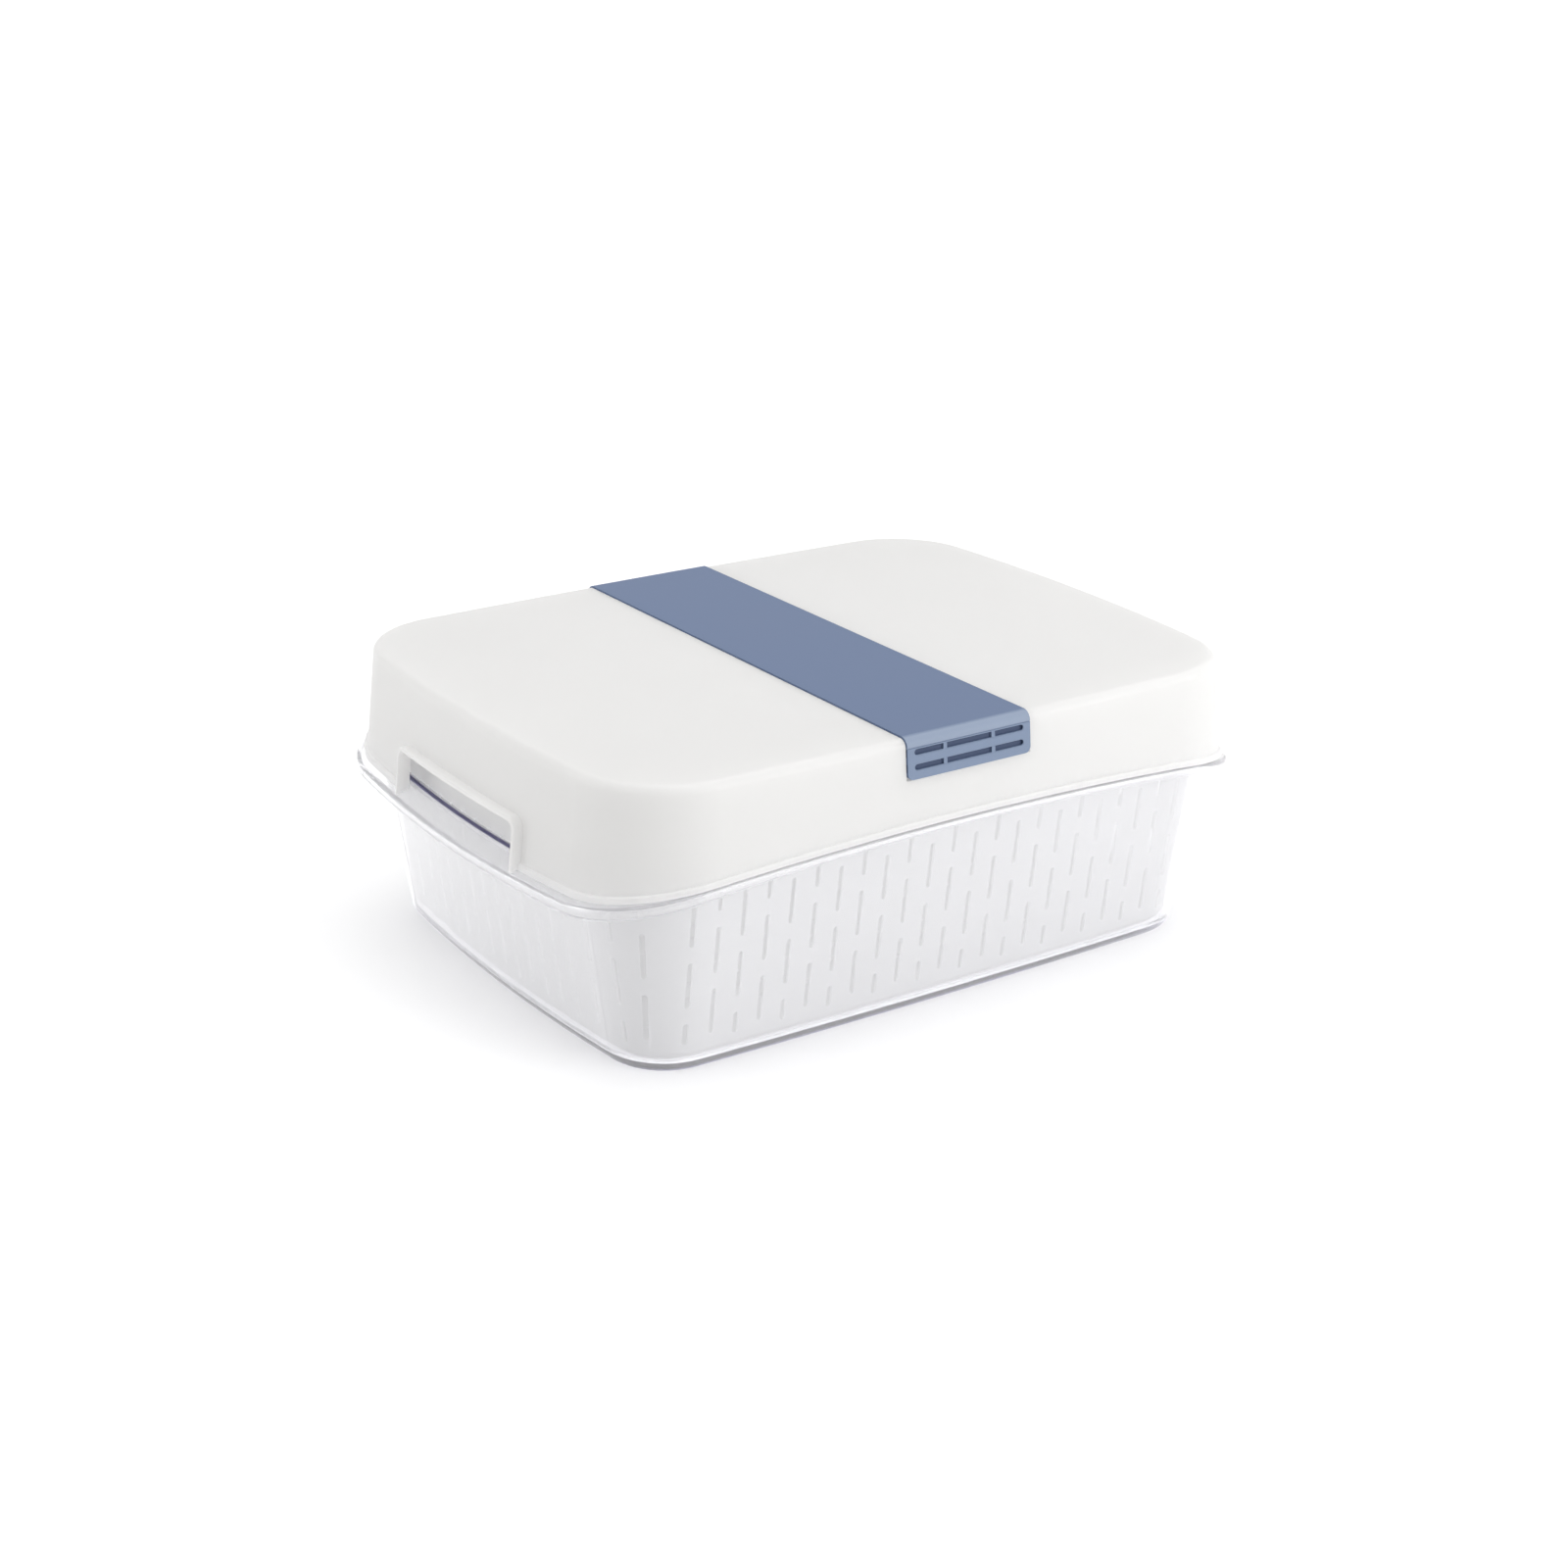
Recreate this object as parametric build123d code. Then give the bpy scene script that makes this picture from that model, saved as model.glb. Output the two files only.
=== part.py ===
from build123d import *
import os
from math import ceil, sqrt

os.makedirs("parts", exist_ok=True)

# Bread keeper: clear tub with a wavy rim, slotted inner basket, domed lid and vent band.
# Millimetres, X along the long side, the vented front faces -Y, Z up from the table.

# General
fit_clearance = 0.3
side_bow_radius = 4640.0
end_bow_radius = 960.0
cut_reach = 20.0

# Tub wall, measured at table height
tub_half_length = 165.5
tub_half_width = 123.0
tub_corner_radius = 30.5
tub_wall = 2.5
tub_slope = 0.15
tub_bottom_radius = 6.5
foot_height = 2.0
foot_width = 4.0

# Rim arch: high over the long sides, dropping to the grips at both ends
rim_mid_height = 101.0
rim_arch_radius = 1840.0
rim_lip_arch_radius = 1450.0
rim_arch_half = 124.5
rim_drop_radius = 270.0
rim_half_length = 191.3
rim_half_width = 143.9
rim_corner_radius = 51.0
rim_side_bow_radius = 4450.0
rim_end_bow_radius = 900.0
rim_thickness = 2.2
rim_round = 2.5
rim_lip_height = 3.3
rim_lip_width = 2.6
rim_lip_round = 0.6

# Low rib on the rim that keeps the lid in place
rib_half_length = 181.0
rib_half_width = 138.0
rib_corner_radius = 46.0
rib_width = 2.0
rib_height = 2.2

# Basket
basket_gap = 1.5
basket_slope = 0.125
basket_wall = 1.2
basket_top = 108.0
basket_bottom_radius = 5.0
basket_foot_height = 2.0
basket_foot_width = 3.0
basket_bead_width = 1.6
basket_bead_height = 2.5
basket_bead_round = 0.6

# Slots in the basket walls
slot_width = 2.6
slot_length = 23.0
slot_gap = 7.9
slot_first = 16.7
slot_band_low = 13.5
slot_band_high = 101.6
end_slot_band_high = 86.0
shortest_slot = 5.0
side_columns = 11
side_column_pitch = 12.5
end_column_pitch = 12.4
end_column_pairs = 6
outer_end_column_pitch = 16.4
corner_column_angle = 46.0

# Slots in the basket floor
floor_slot_length = 34.0
floor_slot_width = 3.0
floor_slot_pitch = 42.0
floor_row_pitch = 14.0
floor_rows = 6
floor_slot_pairs = 3

# Lid
lid_top = 141.4
lid_half_length = 179.8
lid_half_width = 137.4
lid_corner_radius = 45.8
lid_slope = 0.10
lid_wall = 2.0
lid_top_radius = 4.0
lid_bead_width = 1.6
lid_bead_height = 2.6
lid_bead_round = 0.6

# Windows in the end walls of the lid
window_half_width = 55.0
window_top = 107.5
window_corner_radius = 4.0
collar_width = 2.0
collar_projection = 4.6
collar_round = 1.0

# Vent band over the lid
band_width = 69.0
band_thickness = 2.0
band_proud = 0.8
band_front_drop = 19.2
band_back_drop = 12.0
band_corner_radius = 3.0
vent_slot_half_length = 30.5
vent_slot_height = 2.7
vent_row_depths = (6.9, 13.8)
vent_rib_offset = 13.5
vent_rib_width = 2.0
vent_rib_setback = 0.4
vent_edge = 0.35
vent_recess = 1.3
vent_slit_height = 0.5
vent_passage_margin = 0.3
crease_depth = 4.5
crease_height = 0.4
crease_cut = 0.25

# Snap hooks that hold the band on the lid
hook_x = 20.0
hook_y = 60.0
hook_width = 8.0
hook_thickness = 1.6
hook_barb = 1.0
hook_barb_height = 1.5
hook_play = 0.1


def bowed_outline(half_length, half_width, corner, end_bow, side_bow, grow=0.0):
    """Rounded rectangle with bowed sides, built from eight tangent arcs and grown outward in parallel."""
    a = half_length + grow
    b = half_width + grow
    r = corner + grow
    end_radius = end_bow + grow
    side_radius = side_bow + grow
    side_centre = Vector(0, b - side_radius)
    end_centre = Vector(a - end_radius, 0)
    reach_side = side_radius - r
    reach_end = end_radius - r
    apart = (end_centre - side_centre).length
    along = (reach_side**2 - reach_end**2 + apart**2) / (2 * apart)
    across = sqrt(reach_side**2 - along**2)
    step = (end_centre - side_centre).normalized()
    turn = Vector(-step.Y, step.X)
    if (side_centre + step * along + turn * across).X < 0:
        turn = turn * -1
    corner_centre = side_centre + step * along + turn * across
    to_side = (corner_centre - side_centre).normalized()
    to_end = (corner_centre - end_centre).normalized()
    on_side = side_centre + to_side * side_radius
    on_end = end_centre + to_end * end_radius
    on_corner = corner_centre + (to_side + to_end).normalized() * r

    def flip(point, x_sign, y_sign):
        return (point.X * x_sign, point.Y * y_sign)

    arcs = [
        ThreePointArc(flip(on_side, -1, 1), (0, b), flip(on_side, 1, 1)),
        ThreePointArc(flip(on_side, 1, 1), flip(on_corner, 1, 1), flip(on_end, 1, 1)),
        ThreePointArc(flip(on_end, 1, 1), (a, 0), flip(on_end, 1, -1)),
        ThreePointArc(flip(on_end, 1, -1), flip(on_corner, 1, -1), flip(on_side, 1, -1)),
        ThreePointArc(flip(on_side, 1, -1), (0, -b), flip(on_side, -1, -1)),
        ThreePointArc(flip(on_side, -1, -1), flip(on_corner, -1, -1), flip(on_end, -1, -1)),
        ThreePointArc(flip(on_end, -1, -1), (-a, 0), flip(on_end, -1, 1)),
        ThreePointArc(flip(on_end, -1, 1), flip(on_corner, -1, 1), flip(on_side, -1, 1)),
    ]
    return make_face(arcs)


def tub_outline(grow):
    return bowed_outline(
        tub_half_length, tub_half_width, tub_corner_radius, end_bow_radius, side_bow_radius, grow
    )


def lid_outline(grow):
    return bowed_outline(
        lid_half_length, lid_half_width, lid_corner_radius, end_bow_radius, side_bow_radius, grow
    )


def rim_outline(grow):
    return bowed_outline(
        rim_half_length, rim_half_width, rim_corner_radius, rim_end_bow_radius, rim_side_bow_radius, grow
    )


def rib_outline(grow):
    return bowed_outline(
        rib_half_length, rib_half_width, rib_corner_radius, end_bow_radius, side_bow_radius, grow
    )


def flared_block(outline, slope, low, high, grow, round_radius):
    """Block between two heights that widens upward from its outline at table height, lower edge rounded."""
    lower = Pos(0, 0, low) * outline(slope * low + grow)
    upper = Pos(0, 0, high) * outline(slope * high + grow)
    block = loft([lower, upper], ruled=True)
    if round_radius > 0:
        block = fillet(block.edges().group_by(Axis.Z)[0], round_radius)
    return block


def domed_block(low, high, grow, round_radius):
    """Block that follows the outside of the lid and narrows upward, upper edge rounded."""
    lower = Pos(0, 0, low) * lid_outline(lid_slope * (lid_top - low) + grow)
    upper = Pos(0, 0, high) * lid_outline(lid_slope * (lid_top - high) + grow)
    block = loft([lower, upper], ruled=True)
    if round_radius > 0:
        block = fillet(block.edges().group_by(Axis.Z)[-1], round_radius)
    return block


arch_end_x = rim_half_length + cut_reach


def rim_height(x, arch_radius=rim_arch_radius):
    """Height of the rim's upper face above the table at a distance x from the middle.

    One arc over the middle runs on into a tighter tangent arc towards each end.
    """
    centre_height = rim_mid_height - arch_radius
    if abs(x) <= rim_arch_half:
        return centre_height + sqrt(arch_radius**2 - x**2)
    drop_share = rim_drop_radius / arch_radius
    drop_centre_x = rim_arch_half * (1 - drop_share)
    drop_centre_height = centre_height + sqrt(arch_radius**2 - rim_arch_half**2) * (1 - drop_share)
    return drop_centre_height + sqrt(rim_drop_radius**2 - (abs(x) - drop_centre_x) ** 2)


def rim_arch(offset, arch_radius=rim_arch_radius):
    """The rim arch in the XZ plane, raised by the offset, from one end to the other."""

    def point(x):
        return (x, rim_height(x, arch_radius) + offset)

    joint = rim_arch_half
    middle = (rim_arch_half + arch_end_x) / 2
    return [
        ThreePointArc(point(-arch_end_x), point(-middle), point(-joint)),
        ThreePointArc(point(-joint), point(0), point(joint)),
        ThreePointArc(point(joint), point(middle), point(arch_end_x)),
    ]


def rim_slab(low, high, low_arch_radius=rim_arch_radius):
    """Prism across the whole width between two copies of the rim arch, low and high measured from it."""
    low_end = rim_height(arch_end_x, low_arch_radius) + low
    high_end = rim_height(arch_end_x) + high
    sides = [
        Line((-arch_end_x, low_end), (-arch_end_x, high_end)),
        Line((arch_end_x, low_end), (arch_end_x, high_end)),
    ]
    profile = make_face(rim_arch(low, low_arch_radius) + rim_arch(high) + sides)
    return extrude(Plane.XZ * profile, amount=rim_half_width + cut_reach, both=True)


def edges_on_arch(solid, offset, arch_radius=rim_arch_radius):
    """Edges of a solid that run along the rim arch raised by the offset."""

    def on_arch(point):
        return abs(point.Z - offset - rim_height(point.X, arch_radius)) < fit_clearance

    return [edge for edge in solid.edges() if all(on_arch(edge @ along) for along in (0, 0.5, 1))]


def upright_slot(low, high):
    """Round-ended slot face standing in the XZ plane between two heights."""
    slot = SlotOverall(high - low, slot_width)
    return Plane.XZ * (Pos(0, (low + high) / 2) * (Rot(0, 0, 90) * slot))


# Tub
tub_floor = foot_height + tub_wall
tub_tall = rim_mid_height + cut_reach
tub_outside = flared_block(tub_outline, tub_slope, 0, tub_tall, 0, tub_bottom_radius)
tub_inside = flared_block(
    tub_outline, tub_slope, tub_floor, tub_tall + cut_reach, -tub_wall, tub_bottom_radius - foot_height
)
above_rim = rim_slab(0, tub_tall)
rim_plate = rim_slab(-rim_lip_height, 0, rim_lip_arch_radius) & extrude(rim_outline(0), amount=tub_tall)
rim_plate = fillet(edges_on_arch(rim_plate, 0), rim_round)
rim_plate = fillet(edges_on_arch(rim_plate, -rim_lip_height, rim_lip_arch_radius), rim_lip_round)
under_flange = rim_slab(-tub_tall, -rim_thickness) & extrude(rim_outline(-rim_lip_width), amount=tub_tall)
rib_ring = rib_outline(0) - rib_outline(-rib_width)
rim_rib = extrude(rib_ring, amount=tub_tall) & rim_slab(-rim_thickness, rib_height)
foot_hollow = extrude(tub_outline(-tub_bottom_radius - foot_width), amount=foot_height)
base_tub = (tub_outside - above_rim) + (rim_plate - under_flange) + rim_rib - tub_inside - foot_hollow

# Basket
basket_floor_low = tub_floor + basket_foot_height
basket_grow = -(tub_wall + basket_gap)
basket_outside = flared_block(
    tub_outline, basket_slope, basket_floor_low, basket_top, basket_grow, basket_bottom_radius
)
basket_inside = flared_block(
    tub_outline,
    basket_slope,
    basket_floor_low + basket_wall,
    basket_top + cut_reach,
    basket_grow - basket_wall,
    basket_bottom_radius - basket_wall,
)
bead_low = basket_top - basket_bead_height
bead_grow = basket_grow + basket_bead_width
basket_bead = flared_block(tub_outline, basket_slope, bead_low, basket_top, bead_grow, 0)
foot_grow = basket_slope * basket_floor_low + basket_grow - basket_bottom_radius
basket_foot = extrude(
    Pos(0, 0, tub_floor) * (tub_outline(foot_grow) - tub_outline(foot_grow - basket_foot_width)),
    amount=basket_foot_height,
)
basket_bead = fillet(basket_bead.edges().group_by(Axis.Z)[0], basket_bead_round)
basket_bead = fillet(basket_bead.edges().group_by(Axis.Z)[-1], basket_bead_round)
basket_shell = basket_outside + basket_bead - basket_inside + basket_foot

slot_pitch = slot_length + slot_gap
row_count = ceil((slot_band_high - slot_band_low) / slot_pitch) + 1


def slot_rows(shifted, band_high=slot_band_high):
    """Heights of the slots in one column; every other column is shifted down by half a pitch."""
    start = slot_first - (slot_pitch / 2 if shifted else 0)
    rows = []
    for row in range(row_count):
        low = max(start + row * slot_pitch, slot_band_low)
        high = min(start + row * slot_pitch + slot_length, band_high)
        if high - low >= shortest_slot:
            rows.append((low, high))
    return rows


through_sides = tub_half_width + cut_reach + tub_slope * basket_top
through_ends = tub_half_length + cut_reach + tub_slope * basket_top

slot_cutters = []
for column in range(-side_columns, side_columns + 1):
    for low, high in slot_rows(column % 2 == 1):
        cutter = extrude(upright_slot(low, high), amount=through_sides, both=True)
        slot_cutters.append(Pos(column * side_column_pitch, 0, 0) * cutter)

end_columns = [(pair + 0.5) * end_column_pitch for pair in range(end_column_pairs)]
end_columns.append(end_columns[-1] + outer_end_column_pitch)
end_columns.append(end_columns[-1] + outer_end_column_pitch)
for index, place in enumerate(end_columns):
    for low, high in slot_rows(index % 2 == 1, end_slot_band_high):
        cutter = Rot(0, 0, 90) * extrude(upright_slot(low, high), amount=through_ends, both=True)
        for side in (-1, 1):
            slot_cutters.append(Pos(0, side * place, 0) * cutter)

corner_centre_x = tub_half_length - tub_corner_radius
corner_centre_y = tub_half_width - tub_corner_radius
for low, high in slot_rows(False):
    for x_side in (-1, 1):
        for y_side in (-1, 1):
            turned = corner_column_angle if x_side * y_side > 0 else -corner_column_angle
            heading = turned if x_side > 0 else turned + 180
            cutter = extrude(upright_slot(low, high), amount=-tub_corner_radius - through_sides / 2)
            place = Pos(x_side * corner_centre_x, y_side * corner_centre_y, 0)
            slot_cutters.append(place * (Rot(0, 0, heading - 90) * cutter))

floor_reach = basket_foot_height + basket_wall
for row in range(-floor_rows, floor_rows + 1):
    shift = floor_slot_pitch / 2 if row % 2 else 0
    for pair in range(-floor_slot_pairs, floor_slot_pairs + 1):
        x = pair * floor_slot_pitch + shift
        if abs(x) <= floor_slot_pairs * floor_slot_pitch:
            slot = SlotOverall(floor_slot_length, floor_slot_width)
            cutter = extrude(slot, amount=floor_reach + fit_clearance)
            slot_cutters.append(Pos(x, row * floor_row_pitch, tub_floor) * cutter)

basket = basket_shell - slot_cutters

# Lid
skirt_low = rim_height(rim_half_length) - cut_reach
lid_outside = domed_block(skirt_low, lid_top, 0, lid_top_radius)
lid_inside = domed_block(skirt_low - cut_reach, lid_top - lid_wall, -lid_wall, lid_top_radius - lid_wall)
below_skirt = rim_slab(fit_clearance - tub_tall, fit_clearance)
lid_bead = domed_block(skirt_low, lid_top - lid_wall, lid_bead_width, 0) & rim_slab(
    fit_clearance, fit_clearance + lid_bead_height
)
lid_bead = fillet(edges_on_arch(lid_bead, fit_clearance + lid_bead_height), lid_bead_round)

# The band lies in a channel that steps the lid wall inward by the sunk part of its thickness
channel_depth = band_thickness - band_proud
band_top = lid_top + band_proud
front_low = band_top - band_front_drop
back_low = band_top - band_back_drop


def band_zone(half_width, margin):
    """Space over and around the lid that the band covers, down to the ends of its two drops."""
    depth = lid_half_width + cut_reach
    top = band_top + cut_reach
    front = Box(2 * half_width, depth, top - front_low + margin, align=(Align.CENTER, Align.MAX, Align.MAX))
    back = Box(2 * half_width, depth, top - back_low + margin, align=(Align.CENTER, Align.MIN, Align.MAX))
    return Pos(0, 0, top) * (front + back)


def lid_layer(grow):
    """Solid dome whose skin lies the given distance outside the lid's own skin."""
    return domed_block(skirt_low - cut_reach, lid_top + grow, grow, lid_top_radius + grow)


channel_half_width = band_width / 2 + fit_clearance
channel_skin = lid_layer(0) - lid_layer(-channel_depth)
channel = band_zone(channel_half_width, fit_clearance) & channel_skin
thickening_skin = lid_layer(-lid_wall) - lid_layer(-channel_depth - lid_wall)
thickening = band_zone(channel_half_width + lid_wall, fit_clearance + lid_wall) & thickening_skin


def window_prism(half_width, top, radius):
    """Rounded-top opening that runs along X through both end walls."""
    tall = top - skirt_low + cut_reach
    face = RectangleRounded(2 * half_width, tall, radius)
    standing = Plane.YZ * (Pos(0, top - tall / 2) * face)
    return extrude(standing, amount=lid_half_length + 2 * cut_reach, both=True)


window = window_prism(window_half_width, window_top, window_corner_radius)
collar_outline = window_prism(
    window_half_width + collar_width, window_top + collar_width, window_corner_radius + collar_width
)
collar = domed_block(skirt_low, lid_top - lid_wall, collar_projection, 0) & collar_outline
collar_end_edges = collar.faces().sort_by(Axis.X)[0].edges() + collar.faces().sort_by(Axis.X)[-1].edges()
collar = fillet(collar_end_edges, collar_round)

lid_body = lid_outside + lid_bead + collar - (lid_inside - thickening) - below_skirt
lid_shell = lid_body - channel - window

# Passages through the lid wall behind the band's vent slots, and slots for its hooks
front_reach = lid_half_width + cut_reach


def vent_bar(depth_below_top, half_length, height):
    """Round-ended bar along X that passes through the front wall at one vent row."""
    bar = Pos(0, band_top - depth_below_top) * SlotOverall(2 * half_length, height)
    return extrude(Plane.XZ * bar, amount=front_reach)


def front_block(half_width, low, high):
    """Block between two heights that runs from the middle out through the front wall."""
    block = Box(2 * half_width, front_reach, high - low, align=(Align.CENTER, Align.MAX, Align.MIN))
    return Pos(0, 0, low) * block


for row_depth in vent_row_depths:
    lid_shell -= vent_bar(
        row_depth, vent_slot_half_length + vent_passage_margin, vent_slot_height + 2 * vent_passage_margin
    )

hook_top = lid_top - channel_depth
barb_top = hook_top - lid_wall - hook_play
hook_low = barb_top - hook_barb_height
hook_slot_depth = hook_thickness + hook_barb + 2 * fit_clearance
for x_side in (-1, 1):
    for y_side in (-1, 1):
        hole = Box(hook_width + 2 * fit_clearance, hook_slot_depth, 4 * lid_wall)
        lid_shell -= Pos(x_side * hook_x, y_side * (hook_y + hook_barb / 2), hook_top) * hole

# Vent band
band_play = hook_play
band_skin = lid_layer(band_proud) - lid_layer(-channel_depth + band_play)
vent_strip = band_zone(band_width / 2, 0) & band_skin
lower_front_edges = vent_strip.edges().filter_by(
    lambda edge: edge.length < 2 * band_thickness
    and abs(edge.center().Z - front_low) < fit_clearance
    and abs(abs(edge.center().X) - band_width / 2) < fit_clearance
)
vent_strip = fillet(lower_front_edges, band_corner_radius)
crease = front_block(band_width, band_top - crease_depth - crease_height, band_top - crease_depth)
vent_strip -= crease & (lid_layer(band_proud + cut_reach) - lid_layer(band_proud - crease_cut))

# Each vent slot is a recess whose back is open only along a slit under the slot's upper edge
behind_slots = lid_layer(band_proud - vent_recess)
rib_layer = lid_layer(band_proud - vent_rib_setback) - lid_layer(-channel_depth + band_play)
for row_depth in vent_row_depths:
    row_height = band_top - row_depth
    slot = Pos(0, row_height) * SlotOverall(2 * vent_slot_half_length, vent_slot_height)
    vent_strip -= vent_bar(row_depth, vent_slot_half_length, vent_slot_height) - behind_slots
    slit_high = row_height + vent_slot_height / 2
    slit_half_length = vent_slot_half_length - vent_slot_height / 2
    vent_strip -= front_block(slit_half_length, slit_high - vent_slit_height, slit_high)
    slot_face_y = lid_half_width + lid_slope * (lid_top - row_height) + band_proud
    edge_cutter = extrude(Plane.XZ.offset(slot_face_y - vent_edge) * slot, amount=2 * vent_edge, taper=-45)
    vent_strip -= edge_cutter
    for x_side in (-1, 1):
        rib_low = row_height - vent_slot_height / 2 - vent_edge
        rib_high = row_height + vent_slot_height / 2 + vent_edge
        rib = Pos(x_side * vent_rib_offset, 0, 0) * front_block(vent_rib_width / 2, rib_low, rib_high)
        vent_strip += rib & rib_layer

for x_side in (-1, 1):
    for y_side in (-1, 1):
        leg_height = hook_top + band_thickness / 2 - hook_low
        leg = Box(hook_width, hook_thickness, leg_height, align=(Align.CENTER, Align.CENTER, Align.MIN))
        barb_profile = Polyline(
            (0, 0), (hook_barb + hook_thickness / 2, hook_barb_height), (0, hook_barb_height), close=True
        )
        barb = extrude(Plane.YZ * make_face(barb_profile), amount=hook_width / 2, both=True)
        hook = leg + (barb if y_side > 0 else mirror(barb, Plane.XZ))
        vent_strip += Pos(x_side * hook_x, y_side * hook_y, hook_low) * hook

export_step(base_tub, "parts/base_tub.step")
export_step(basket, "parts/basket.step")
export_step(lid_shell, "parts/lid_shell.step")
export_step(vent_strip, "parts/vent_strip.step")

pieces = {"base_tub": base_tub, "basket": basket, "lid_shell": lid_shell, "vent_strip": vent_strip}
for name, piece in pieces.items():
    box = piece.bounding_box()
    print(name, "solids", len(piece.solids()), "volume", round(piece.volume / 1000, 1), box.min, box.max)
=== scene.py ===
"""Finishes and studio for a bread keeper: clear tub, slotted basket, white lid and blue vent band."""

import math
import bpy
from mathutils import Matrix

bl_info = {
    "name": "Bread keeper finishes",
    "version": (1, 0, 0),
    "blender": (4, 5, 0),
    "location": "3D View > Sidebar > Keeper",
    "description": "Dresses the packed bread keeper in moulded plastic and sets it in a pale studio",
    "category": "Object",
}

import bmesh
import bpy
from bpy.props import FloatProperty, FloatVectorProperty, PointerProperty
from mathutils import Matrix, Vector

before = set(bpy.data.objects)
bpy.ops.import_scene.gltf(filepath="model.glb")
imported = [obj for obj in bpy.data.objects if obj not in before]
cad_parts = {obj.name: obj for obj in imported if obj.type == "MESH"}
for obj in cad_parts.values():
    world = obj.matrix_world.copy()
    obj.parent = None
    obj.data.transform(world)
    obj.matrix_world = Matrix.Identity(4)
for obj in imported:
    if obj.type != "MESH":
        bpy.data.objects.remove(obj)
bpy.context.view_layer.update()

MILLIMETRE = 0.001

# Places of the colour sockets on a Mix node, and of the shader sockets on a Mix Shader node
MIX_FIRST_COLOUR = 6
MIX_SECOND_COLOUR = 7
MIX_RESULT_COLOUR = 2
MIX_FIRST_SHADER = 1
MIX_SECOND_SHADER = 2

# Moulded surface: broad flow marks, a fine grain, and how uneven the gloss is where nothing else is said
FLOW_SCALE = 14.0
FLOW_DETAIL = 4.0
GRAIN_DETAIL = 2.0
GRAIN_STRENGTH = 0.25
SURFACE_DEFAULTS = {"Mottling": 0.02, "Roughness": 0.4, "Unevenness": 0.06, "Grain scale": 900.0}
PLASTIC_IOR = 1.49

# Clear plastic: part of the light is scattered, and a little toner colours long ways through it
CLEAR_TRANSMISSION = 0.77
CLEAR_IOR = 1.45
CLEAR_UNEVENNESS = 0.03
CLEAR_SHADOW = (0.97, 0.97, 0.98)
TONER_COLOUR = (0.5, 0.46, 0.85)
TONER_DENSITY = 7.0

# A face is turned to an axis when its normal's share along that axis is over this
TURNED_TO_AXIS = 0.7

# Arch of the tub's rim: one arc over the middle that runs on into a tighter tangent arc at each end
RIM_MID_HEIGHT = 101.0 * MILLIMETRE
RIM_ARCH_RADIUS = 1840.0 * MILLIMETRE
RIM_ARCH_HALF = 124.5 * MILLIMETRE
RIM_DROP_RADIUS = 270.0 * MILLIMETRE

# Height above the rim's arch from which a face belongs to the top of the rib on it
RIB_LOWEST_TOP = 1.2 * MILLIMETRE

# The basket's walls lie beyond these distances from the middle, and their slots between these heights
BASKET_SIDE_WALL = 112.0 * MILLIMETRE
BASKET_END_WALL = 150.0 * MILLIMETRE
SLOTS_LOWEST = 13.0 * MILLIMETRE
SLOTS_HIGHEST = 104.0 * MILLIMETRE

# The band's front plate: how far forward its face is at the height of the lid's top, and its lean
PLATE_FACE = 138.2 * MILLIMETRE
PLATE_FACE_HEIGHT = 141.4 * MILLIMETRE
PLATE_LEAN = 0.10

# Two rows of vent slots, with a rib across each of them on either side of the middle
VENT_ROW_HEIGHTS = (135.3 * MILLIMETRE, 128.4 * MILLIMETRE)
VENT_HALF_HEIGHT = 1.8 * MILLIMETRE
# Depth behind the plate's face from which the vent backs get painted shade
VENT_PAINTED_SHADE_DEPTH = 0.45 * MILLIMETRE
VENT_RIB_PLACE = 13.5 * MILLIMETRE
VENT_RIB_HALF_WIDTH = 1.1 * MILLIMETRE

# The band's painted fold highlight ends at the fine line under it. These say how fast the painted fold
# highlight and the painted light on the front plate grow as the band turns down
FOLD_LOWEST = 137.6 * MILLIMETRE
FOLD_HIGHLIGHT_GROWTH = 2.4
PLATE_LIGHT_GROWTH = 1.6


def colour_property(name, description, default):
    """Colour that a user can change."""
    return FloatVectorProperty(
        name=name, description=description, default=default, subtype="COLOR", size=3, min=0.0, max=1.0
    )


def roughness_property(name, description, default):
    """Roughness, from a mirror at nought to matt at one."""
    return FloatProperty(
        name=name, description=description, default=default, subtype="FACTOR", min=0.0, max=1.0
    )


def power_property(name, description, default):
    """Power of a lamp."""
    return FloatProperty(name=name, description=description, default=default, min=0.0, unit="POWER")


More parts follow.
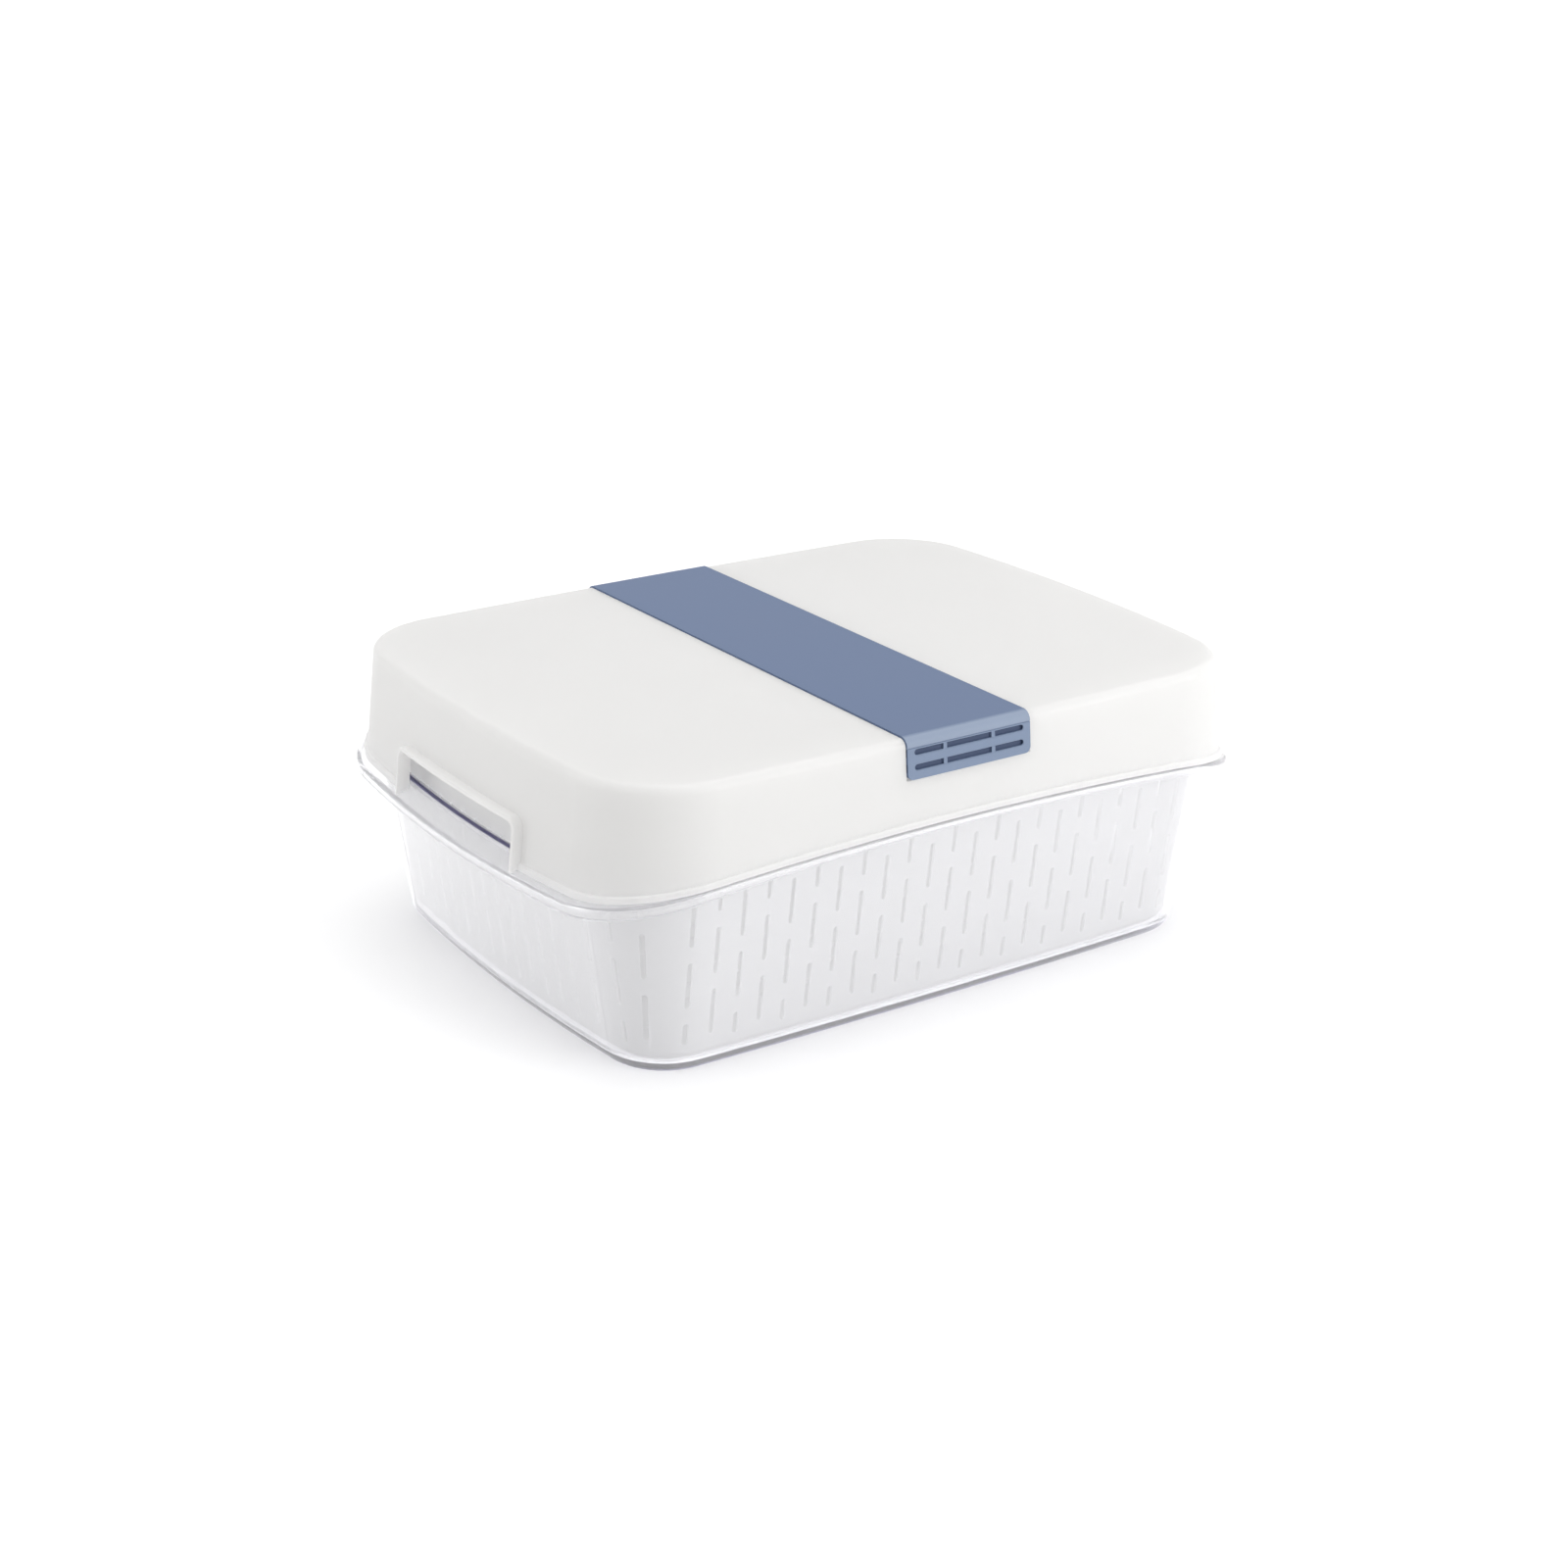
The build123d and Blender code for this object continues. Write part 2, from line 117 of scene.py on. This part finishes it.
class KeeperFinishes(bpy.types.PropertyGroup):
    """Colours and surface qualities of the plastics, among them painted highlights, painted light and
    painted shade.
    """

    lid_colour: colour_property("Lid colour", "Warm white of the lid", (0.91, 0.907, 0.90))
    basket_colour: colour_property(
        "Basket colour", "Cool white of the slotted basket", (0.875, 0.875, 0.87)
    )
    # Painted highlight: the slots' cut faces are lighter as if they caught the light
    basket_slot_highlight_colour: colour_property(
        "Slot edges", "Lighter colour of the slots' cut faces", (0.98, 0.98, 0.98)
    )
    band_colour: colour_property("Band colour", "Slate blue of the vent band", (0.120, 0.168, 0.282))
    # Painted light: the band turns lighter towards its front plate because the front faces the lamps
    plate_painted_light_colour: colour_property(
        "Front plate", "Lighter blue of the band's front plate", (0.205, 0.26, 0.37)
    )
    # Painted highlight on the band's fold
    fold_highlight_colour: colour_property("Fold", "Lightest blue, on the band's fold", (0.27, 0.325, 0.43))
    # Painted shade: the backs of the vents are darkened where shade falls in them
    vent_painted_shade_colour: colour_property(
        "Vent backs", "Dark blue at the backs of the vents", (0.05, 0.072, 0.135)
    )
    tub_colour: colour_property("Tub tint", "Tint of the clear tub", (0.90, 0.90, 0.905))
    # Painted dark reflection on top of the tub's rib, tinted indigo like the toner
    tub_rib_reflection_colour: colour_property(
        "Tub edge", "Deep tint on top of the tub's rib", (0.03, 0.027, 0.10)
    )
    lid_roughness: roughness_property(
        "Lid roughness", "Roughness of the satin surface of lid and basket", 0.42
    )
    band_roughness: roughness_property(
        "Band roughness", "Roughness of the band's satin surface", 0.46
    )
    tub_roughness: roughness_property("Tub roughness", "Roughness of the polished tub", 0.06)


class KeeperStudio(bpy.types.PropertyGroup):
    """Lamps and floor of the studio."""

    floor_size: FloatProperty(
        name="Floor size", description="Side of the square floor", default=40.0, min=1.0, unit="LENGTH"
    )
    ambient: FloatProperty(
        name="Ambient", description="Strength of the even light from all round", default=0.57, min=0.0
    )
    top_power: power_property("Top lamp", "Power of the softbox overhead", 11.2)
    right_power: power_property("Right lamp", "Power of the softbox on the right", 14.3)
    left_power: power_property("Left lamp", "Power of the softbox on the left", 5.8)


def new_material(name):
    """Empty node material with a Principled shader on its output."""
    material = bpy.data.materials.new(name)
    material.use_nodes = True
    tree = material.node_tree
    tree.nodes.clear()
    output = tree.nodes.new("ShaderNodeOutputMaterial")
    shader = tree.nodes.new("ShaderNodeBsdfPrincipled")
    tree.links.new(shader.outputs["BSDF"], output.inputs["Surface"])
    return material, tree, shader, output


def feed(tree, value, socket):
    """Links another socket to this one, or writes a plain number in it."""
    if isinstance(value, bpy.types.NodeSocket):
        tree.links.new(value, socket)
    else:
        socket.default_value = value


def math_node(tree, operation, *values):
    """Output of a math node whose inputs are sockets or plain numbers."""
    node = tree.nodes.new("ShaderNodeMath")
    node.operation = operation
    for value, socket in zip(values, node.inputs):
        feed(tree, value, socket)
    return node.outputs["Value"]


def noise(tree, place, detail):
    """Noise texture on the piece's own coordinates."""
    texture = tree.nodes.new("ShaderNodeTexNoise")
    texture.inputs["Detail"].default_value = detail
    tree.links.new(place, texture.inputs["Vector"])
    return texture


def moulded_surface_group():
    """Node group for moulded plastic: faint mottling, uneven gloss and a fine spark-eroded grain."""
    group_name = "moulded surface"
    if group_name in bpy.data.node_groups:
        return bpy.data.node_groups[group_name]
    group = bpy.data.node_groups.new(group_name, "ShaderNodeTree")
    sockets = group.interface
    colour_in = sockets.new_socket("Colour", in_out="INPUT", socket_type="NodeSocketColor")
    colour_in.default_value = (1.0, 1.0, 1.0, 1.0)
    for name, value in SURFACE_DEFAULTS.items():
        socket = sockets.new_socket(name, in_out="INPUT", socket_type="NodeSocketFloat")
        socket.default_value = value
    sockets.new_socket("Colour", in_out="OUTPUT", socket_type="NodeSocketColor")
    sockets.new_socket("Roughness", in_out="OUTPUT", socket_type="NodeSocketFloat")
    sockets.new_socket("Height", in_out="OUTPUT", socket_type="NodeSocketFloat")

    start = group.nodes.new("NodeGroupInput")
    end = group.nodes.new("NodeGroupOutput")
    place = group.nodes.new("ShaderNodeTexCoord").outputs["Object"]
    flow = noise(group, place, FLOW_DETAIL)
    flow.inputs["Scale"].default_value = FLOW_SCALE
    grain = noise(group, place, GRAIN_DETAIL)
    group.links.new(start.outputs["Grain scale"], grain.inputs["Scale"])

    centred = math_node(group, "SUBTRACT", flow.outputs["Fac"], 0.5)
    shade = math_node(group, "MULTIPLY_ADD", centred, start.outputs["Mottling"], 1.0)
    tinted = group.nodes.new("ShaderNodeVectorMath")
    tinted.operation = "SCALE"
    group.links.new(start.outputs["Colour"], tinted.inputs[0])
    group.links.new(shade, tinted.inputs["Scale"])
    group.links.new(tinted.outputs["Vector"], end.inputs["Colour"])

    unevenness, roughness = start.outputs["Unevenness"], start.outputs["Roughness"]
    rough = math_node(group, "MULTIPLY_ADD", centred, unevenness, roughness)
    group.links.new(rough, end.inputs["Roughness"])
    group.links.new(grain.outputs["Fac"], end.inputs["Height"])
    return group


class MaskGroup:
    """Node group that puts out one mask, worked out from where a surface lies and how it is turned."""

    def __init__(self, name):
        self.tree = bpy.data.node_groups.new(name, "ShaderNodeTree")
        self.tree.interface.new_socket("Mask", in_out="OUTPUT", socket_type="NodeSocketFloat")
        self.end = self.tree.nodes.new("NodeGroupOutput")
        coordinates = self.tree.nodes.new("ShaderNodeTexCoord")
        self.where = self.axes(coordinates.outputs["Object"])
        self.facing = self.axes(coordinates.outputs["Normal"])

    def axes(self, vector):
        """The three values of a vector, by the names X, Y and Z."""
        split = self.tree.nodes.new("ShaderNodeSeparateXYZ")
        self.tree.links.new(vector, split.inputs["Vector"])
        return split.outputs

    def math(self, operation, *values):
        """Output of a math node."""
        return math_node(self.tree, operation, *values)

    def over(self, value, limit):
        """One where the value is over the limit."""
        return self.math("GREATER_THAN", value, limit)

    def under(self, value, limit):
        """One where the value is under the limit."""
        return self.math("LESS_THAN", value, limit)

    def size(self, value):
        """The value without its sign."""
        return self.math("ABSOLUTE", value)

    def distance(self, first, second):
        """How far apart two values are."""
        return self.size(self.math("SUBTRACT", first, second))

    def held(self, value):
        """The value held between nought and one."""
        return self.math("MINIMUM", self.math("MAXIMUM", value, 0.0), 1.0)

    def all_of(self, *masks):
        """One where every mask is one."""
        product = masks[0]
        for mask in masks[1:]:
            product = self.math("MULTIPLY", product, mask)
        return product

    def finished(self, mask):
        """The node group, with the mask on its output."""
        self.tree.links.new(mask, self.end.inputs["Mask"])
        return self.tree


def rib_top_group():
    """Mask of the top face of the rib that stands on the tub's rim."""
    group = MaskGroup("rib top")

    def arc_height(distance, radius, centre_height):
        squared = group.math("MULTIPLY", distance, distance)
        under_root = group.math("SUBTRACT", radius**2, squared)
        return group.math("ADD", group.math("SQRT", under_root), centre_height)

    arch_centre = RIM_MID_HEIGHT - RIM_ARCH_RADIUS
    drop_share = 1 - RIM_DROP_RADIUS / RIM_ARCH_RADIUS
    drop_centre = arch_centre + math.sqrt(RIM_ARCH_RADIUS**2 - RIM_ARCH_HALF**2) * drop_share
    from_middle = group.size(group.where["X"])
    from_drop_centre = group.math("SUBTRACT", from_middle, RIM_ARCH_HALF * drop_share)
    over_middle = arc_height(from_middle, RIM_ARCH_RADIUS, arch_centre)
    over_end = arc_height(from_drop_centre, RIM_DROP_RADIUS, drop_centre)
    at_end = group.over(from_middle, RIM_ARCH_HALF)
    drop = group.math("MULTIPLY", at_end, group.math("SUBTRACT", over_end, over_middle))
    rim_height = group.math("ADD", over_middle, drop)
    above_rim = group.math("SUBTRACT", group.where["Z"], rim_height)
    high = group.over(above_rim, RIB_LOWEST_TOP)
    upward = group.over(group.facing["Z"], TURNED_TO_AXIS)
    return group.finished(group.all_of(high, upward))


def slot_highlight_group():
    """Mask of the cut faces of the slots in the basket's walls, which get a painted highlight."""
    group = MaskGroup("slot edges")
    along = group.size(group.where["X"])
    across = group.size(group.where["Y"])
    height = group.where["Z"]
    faces_along = group.over(group.size(group.facing["X"]), TURNED_TO_AXIS)
    faces_across = group.over(group.size(group.facing["Y"]), TURNED_TO_AXIS)
    faces_up = group.over(group.facing["Z"], TURNED_TO_AXIS)

    in_side_wall = group.over(across, BASKET_SIDE_WALL)
    off_side_wall = group.under(across, BASKET_SIDE_WALL)
    in_end_wall = group.over(along, BASKET_END_WALL)
    off_end_wall = group.under(along, BASKET_END_WALL)
    above_floor = group.over(height, SLOTS_LOWEST)
    below_rim = group.under(height, SLOTS_HIGHEST)

    on_sides = group.all_of(faces_along, in_side_wall, off_end_wall)
    on_ends = group.all_of(faces_across, in_end_wall, off_side_wall)
    lower_ends = group.all_of(faces_up, above_floor, below_rim)
    uprights = group.math("MAXIMUM", on_sides, on_ends)
    return group.finished(group.math("MAXIMUM", uprights, lower_ends))


def vent_painted_shade_group():
    """Mask of the painted shade at the backs of the band's vent slots, without the ribs that cross them.
    """
    group = MaskGroup("vent shade")
    across, height = group.where["Y"], group.where["Z"]
    below_top = group.math("SUBTRACT", PLATE_FACE_HEIGHT, height)
    face = group.math("ADD", group.math("MULTIPLY", below_top, PLATE_LEAN), PLATE_FACE)
    depth = group.math("ADD", across, face)
    sunk = group.over(depth, VENT_PAINTED_SHADE_DEPTH)
    in_front = group.under(across, 0.0)
    not_lower_edge = group.under(group.facing["Z"], TURNED_TO_AXIS)
    from_rib = group.distance(group.size(group.where["X"]), VENT_RIB_PLACE)
    off_rib = group.over(from_rib, VENT_RIB_HALF_WIDTH)
    rows = [group.under(group.distance(height, row), VENT_HALF_HEIGHT) for row in VENT_ROW_HEIGHTS]
    in_row = group.math("MAXIMUM", *rows)
    return group.finished(group.all_of(in_row, sunk, in_front, not_lower_edge, off_rib))


def front_plate_light_group():
    """Mask of painted light that grows to one as the band turns down to its front plate, lightening the
    front because it faces the light.
    """
    group = MaskGroup("front plate")
    return group.finished(group.held(group.math("MULTIPLY", group.facing["Y"], -PLATE_LIGHT_GROWTH)))


def fold_highlight_group():
    """Mask of the painted highlight on the band's fold, down to the fine line under it."""
    group = MaskGroup("fold")
    turned = group.held(group.math("MULTIPLY", group.facing["Y"], -FOLD_HIGHLIGHT_GROWTH))
    above_line = group.over(group.where["Z"], FOLD_LOWEST)
    return group.finished(group.all_of(turned, above_line))


def two_toned(tree, colour, mask_group, second_colour):
    """Colour socket that turns to a second colour where the group's mask is one."""
    mask = tree.nodes.new("ShaderNodeGroup")
    mask.node_tree = mask_group
    mix = tree.nodes.new("ShaderNodeMix")
    mix.data_type = "RGBA"
    mix.inputs[MIX_SECOND_COLOUR].default_value = (*second_colour, 1.0)
    tree.links.new(mask.outputs["Mask"], mix.inputs["Factor"])
    tree.links.new(colour, mix.inputs[MIX_FIRST_COLOUR])
    return mix.outputs[MIX_RESULT_COLOUR]


def moulded_surface(tree, colour, **values):
    """Moulded surface node in a material, with its own colour and values."""
    surface = tree.nodes.new("ShaderNodeGroup")
    surface.node_tree = moulded_surface_group()
    surface.inputs["Colour"].default_value = (*colour, 1.0)
    for name, value in values.items():
        surface.inputs[name.capitalize()].default_value = value
    return surface


def blend_shaders(tree, first, second, share, output):
    """Puts two shaders on the output, the second with the given share."""
    mix = tree.nodes.new("ShaderNodeMixShader")
    feed(tree, share, mix.inputs["Fac"])
    tree.links.new(first, mix.inputs[MIX_FIRST_SHADER])
    tree.links.new(second, mix.inputs[MIX_SECOND_SHADER])
    tree.links.new(mix.outputs["Shader"], output.inputs["Surface"])


def opaque_plastic(
    name, colour, roughness, mottling, grain_depth, translucency, specular, other_colours=()
):
    """Satin moulded plastic. A translucent one lets some light through its thin walls."""
    material, tree, shader, output = new_material(name)
    surface = moulded_surface(tree, colour, mottling=mottling, roughness=roughness)
    bump = tree.nodes.new("ShaderNodeBump")
    bump.inputs["Strength"].default_value = GRAIN_STRENGTH
    bump.inputs["Distance"].default_value = grain_depth
    tree.links.new(surface.outputs["Height"], bump.inputs["Height"])
    base_colour = surface.outputs["Colour"]
    for mask_group, other_colour in other_colours:
        base_colour = two_toned(tree, base_colour, mask_group, other_colour)
    tree.links.new(base_colour, shader.inputs["Base Color"])
    tree.links.new(surface.outputs["Roughness"], shader.inputs["Roughness"])
    tree.links.new(bump.outputs["Normal"], shader.inputs["Normal"])
    shader.inputs["IOR"].default_value = PLASTIC_IOR
    shader.inputs["Specular IOR Level"].default_value = specular
    if translucency > 0.0:
        through = tree.nodes.new("ShaderNodeBsdfTranslucent")
        tree.links.new(base_colour, through.inputs["Color"])
        blend_shaders(tree, shader.outputs["BSDF"], through.outputs["BSDF"], translucency, output)
    return material


def clear_plastic(name, colour, roughness, rib_reflection_colour):
    """Clear moulded plastic that casts only a faint shadow, with a painted dark reflection, tinted indigo
    like its toner, on top of its rib.
    """
    material, tree, shader, output = new_material(name)
    surface = moulded_surface(
        tree, colour, mottling=0.0, roughness=roughness, unevenness=CLEAR_UNEVENNESS
    )
    # Painted dark reflection on the rib's top, tinted indigo like the toner
    base_colour = two_toned(tree, surface.outputs["Colour"], rib_top_group(), rib_reflection_colour)
    tree.links.new(base_colour, shader.inputs["Base Color"])
    tree.links.new(surface.outputs["Roughness"], shader.inputs["Roughness"])
    shader.inputs["Transmission Weight"].default_value = CLEAR_TRANSMISSION
    shader.inputs["IOR"].default_value = CLEAR_IOR

    clear = tree.nodes.new("ShaderNodeBsdfTransparent")
    clear.inputs["Color"].default_value = (*CLEAR_SHADOW, 1.0)
    ray = tree.nodes.new("ShaderNodeLightPath").outputs
    from_lamp = math_node(tree, "MAXIMUM", ray["Is Shadow Ray"], ray["Is Diffuse Ray"])
    blend_shaders(tree, shader.outputs["BSDF"], clear.outputs["BSDF"], from_lamp, output)

    toner = tree.nodes.new("ShaderNodeVolumeAbsorption")
    toner.inputs["Color"].default_value = (*TONER_COLOUR, 1.0)
    toner.inputs["Density"].default_value = TONER_DENSITY
    tree.links.new(toner.outputs["Volume"], output.inputs["Volume"])
    return material


def dress(node, material):
    """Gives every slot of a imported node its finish."""
    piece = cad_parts[node]
    if not piece.data.materials:
        piece.data.materials.append(material)
    for index in range(len(piece.data.materials)):
        piece.data.materials[index] = material


class KEEPER_OT_tub(bpy.types.Operator):
    """Finish the clear outer tub"""

    bl_idname = "keeper.tub"
    bl_label = "Clear tub"

    def execute(self, context):
        finish = context.scene.keeper_finishes
        plastic = clear_plastic(
            "clear tub plastic", finish.tub_colour, finish.tub_roughness, finish.tub_rib_reflection_colour
        )
        dress("base_tub", plastic)
        return {"FINISHED"}


class KEEPER_OT_basket(bpy.types.Operator):
    """Finish the slotted basket"""

    bl_idname = "keeper.basket"
    bl_label = "Slotted basket"

    def execute(self, context):
        finish = context.scene.keeper_finishes
        plastic = opaque_plastic(
            "basket plastic",
            finish.basket_colour,
            finish.lid_roughness,
            mottling=0.02,
            grain_depth=0.05 * MILLIMETRE,
            translucency=0.48,
            specular=0.5,
            # Painted highlight on the slots' cut faces
            other_colours=((slot_highlight_group(), finish.basket_slot_highlight_colour),),
        )
        dress("basket", plastic)
        return {"FINISHED"}


class KEEPER_OT_lid(bpy.types.Operator):
    """Finish the domed lid"""

    bl_idname = "keeper.lid"
    bl_label = "Domed lid"

    def execute(self, context):
        finish = context.scene.keeper_finishes
        plastic = opaque_plastic(
            "lid plastic",
            finish.lid_colour,
            finish.lid_roughness,
            mottling=0.015,
            grain_depth=0.05 * MILLIMETRE,
            translucency=0.45,
            specular=0.4,
        )
        dress("lid_shell", plastic)
        return {"FINISHED"}


class KEEPER_OT_band(bpy.types.Operator):
    """Finish the vent band"""

    bl_idname = "keeper.band"
    bl_label = "Vent band"

    def execute(self, context):
        finish = context.scene.keeper_finishes
        plastic = opaque_plastic(
            "band plastic",
            finish.band_colour,
            finish.band_roughness,
            mottling=0.05,
            grain_depth=0.08 * MILLIMETRE,
            translucency=0.0,
            specular=0.2,
            other_colours=(
                # Painted light on the front plate
                (front_plate_light_group(), finish.plate_painted_light_colour),
                # Painted highlight on the fold
                (fold_highlight_group(), finish.fold_highlight_colour),
                # Painted shade at the backs of the vents
                (vent_painted_shade_group(), finish.vent_painted_shade_colour),
            ),
        )
        dress("vent_strip", plastic)
        return {"FINISHED"}


def add_softbox(name, direction, distance, side, power):
    """Square area lamp that faces the middle of the keeper."""
    lamp = bpy.data.lights.new(name, "AREA")
    lamp.shape = "SQUARE"
    lamp.size = side
    lamp.energy = power
    softbox = bpy.data.objects.new(name, lamp)
    bpy.context.scene.collection.objects.link(softbox)
    keeper_middle = Vector((0.0, 0.0, 0.07))
    away = Vector(direction).normalized() * distance
    turn = away.to_track_quat("Z", "Y").to_matrix().to_4x4()
    softbox.matrix_world = Matrix.Translation(keeper_middle + away) @ turn


def camera_white(tree, plain_strength, white_strength):
    """Strength socket with one value for camera, mirror and glass rays and a plain one for all others."""
    ray = tree.nodes.new("ShaderNodeLightPath").outputs
    seen = math_node(tree, "MAXIMUM", ray["Is Camera Ray"], ray["Is Glossy Ray"])
    seen_or_through = math_node(tree, "MAXIMUM", seen, ray["Is Transmission Ray"])
    strength = tree.nodes.new("ShaderNodeMapRange")
    strength.inputs["To Min"].default_value = plain_strength
    strength.inputs["To Max"].default_value = white_strength
    tree.links.new(seen_or_through, strength.inputs["Value"])
    return strength.outputs["Result"]


class KEEPER_OT_studio(bpy.types.Operator):
    """Build the pale floor, the soft lamps and the camera"""

    bl_idname = "keeper.studio"
    bl_label = "Studio"

    # Direction from the keeper, distance and side of each softbox
    top_softbox = ((0.1, 0.1, 1.0), 1.6, 1.6)
    right_softbox = ((0.55, -1.0, 0.42), 1.7, 1.3)
    left_softbox = ((-1.0, 0.45, 0.42), 1.7, 1.3)

    # The floor looks whiter from the near distance to the far one, and bright through the clear tub
    floor_colour = (0.88, 0.88, 0.88)
    floor_roughness = 0.9
    near_distance = 0.4
    far_distance = 2.0
    near_whiteness = 0.25
    whiteness_in_tub = 0.85

    camera_place = (-0.6871, -0.9973, 0.5378)
    camera_yaw = math.radians(34.370)
    camera_pitch = math.radians(21.164)
    camera_roll = math.radians(0.613)
    camera_lens = 60.28
    camera_sensor = 36.0
    nearest_seen = 0.01
    farthest_seen = 100.0

    def execute(self, context):
        studio = context.scene.keeper_studio
        self.make_floor(studio.floor_size)
        self.make_world(context.scene, studio.ambient)
        add_softbox("top softbox", *self.top_softbox, studio.top_power)
        add_softbox("right softbox", *self.right_softbox, studio.right_power)
        add_softbox("left softbox", *self.left_softbox, studio.left_power)
        self.make_camera(context.scene)
        return {"FINISHED"}

    def make_floor(self, side):
        shape = bmesh.new()
        bmesh.ops.create_grid(shape, x_segments=1, y_segments=1, size=side / 2)
        mesh = bpy.data.meshes.new("studio_floor")
        shape.to_mesh(mesh)
        shape.free()
        floor = bpy.data.objects.new("studio_floor", mesh)
        bpy.context.scene.collection.objects.link(floor)
        mesh.materials.append(self.floor_white())

    def floor_white(self):
        material, tree, shader, _ = new_material("floor white")
        shader.inputs["Base Color"].default_value = (*self.floor_colour, 1.0)
        shader.inputs["Roughness"].default_value = self.floor_roughness
        shader.inputs["Specular IOR Level"].default_value = 0.0
        shader.inputs["Emission Color"].default_value = (1.0, 1.0, 1.0, 1.0)
        place = tree.nodes.new("ShaderNodeTexCoord")
        distance = tree.nodes.new("ShaderNodeVectorMath")
        distance.operation = "LENGTH"
        whiteness = tree.nodes.new("ShaderNodeMapRange")
        whiteness.interpolation_type = "SMOOTHSTEP"
        whiteness.inputs["From Min"].default_value = self.near_distance
        whiteness.inputs["From Max"].default_value = self.far_distance
        whiteness.inputs["To Min"].default_value = self.near_whiteness
        whiteness.inputs["To Max"].default_value = 1.0
        tree.links.new(place.outputs["Object"], distance.inputs[0])
        tree.links.new(distance.outputs["Value"], whiteness.inputs["Value"])

        ray = tree.nodes.new("ShaderNodeLightPath").outputs
        by_tub = math_node(tree, "MAXIMUM", ray["Is Transmission Ray"], ray["Is Glossy Ray"])
        in_tub = math_node(tree, "MULTIPLY", by_tub, self.whiteness_in_tub)
        seen = camera_white(tree, 0.0, 1.0)
        straight = math_node(tree, "MULTIPLY", whiteness.outputs["Result"], seen)
        strength = math_node(tree, "MAXIMUM", straight, in_tub)
        tree.links.new(strength, shader.inputs["Emission Strength"])
        return material

    def make_world(self, scene, ambient):
        world = bpy.data.worlds.new("pale studio")
        world.use_nodes = True
        tree = world.node_tree
        background = tree.nodes["Background"]
        background.inputs["Color"].default_value = (1.0, 1.0, 1.0, 1.0)
        tree.links.new(camera_white(tree, ambient, 1.0), background.inputs["Strength"])
        scene.world = world
        scene.view_settings.view_transform = "Standard"

    def make_camera(self, scene):
        lens = bpy.data.cameras.new("photo camera")
        lens.lens = self.camera_lens
        lens.sensor_width = self.camera_sensor
        lens.clip_start = self.nearest_seen
        lens.clip_end = self.farthest_seen
        camera = bpy.data.objects.new("photo camera", lens)
        scene.collection.objects.link(camera)
        heading = Matrix.Rotation(-self.camera_yaw, 4, "Z")
        tilt = Matrix.Rotation(math.pi / 2 - self.camera_pitch, 4, "X")
        roll = Matrix.Rotation(self.camera_roll, 4, "Z")
        camera.matrix_world = Matrix.Translation(self.camera_place) @ heading @ tilt @ roll
        scene.camera = camera


class KEEPER_PT_panel(bpy.types.Panel):
    """Lists the finishes and the steps that apply them"""

    bl_idname = "KEEPER_PT_panel"
    bl_label = "Bread keeper"
    bl_space_type = "VIEW_3D"
    bl_region_type = "UI"
    bl_category = "Keeper"

    def draw(self, context):
        layout = self.layout
        for group in (context.scene.keeper_finishes, context.scene.keeper_studio):
            for name in group.bl_rna.properties.keys():
                if name not in ("rna_type", "name"):
                    layout.prop(group, name)
        for operator in OPERATORS:
            layout.operator(operator.bl_idname)


OPERATORS = (KEEPER_OT_tub, KEEPER_OT_basket, KEEPER_OT_lid, KEEPER_OT_band, KEEPER_OT_studio)
CLASSES = (KeeperFinishes, KeeperStudio, *OPERATORS, KEEPER_PT_panel)


def register():
    for each in CLASSES:
        bpy.utils.register_class(each)
    bpy.types.Scene.keeper_finishes = PointerProperty(type=KeeperFinishes)
    bpy.types.Scene.keeper_studio = PointerProperty(type=KeeperStudio)


def unregister():
    del bpy.types.Scene.keeper_studio
    del bpy.types.Scene.keeper_finishes
    for each in reversed(CLASSES):
        bpy.utils.unregister_class(each)


def main():
    register()
    bpy.ops.keeper.tub()
    bpy.ops.keeper.basket()
    bpy.ops.keeper.lid()
    bpy.ops.keeper.band()
    bpy.ops.keeper.studio()


if __name__ == "__main__":
    main()
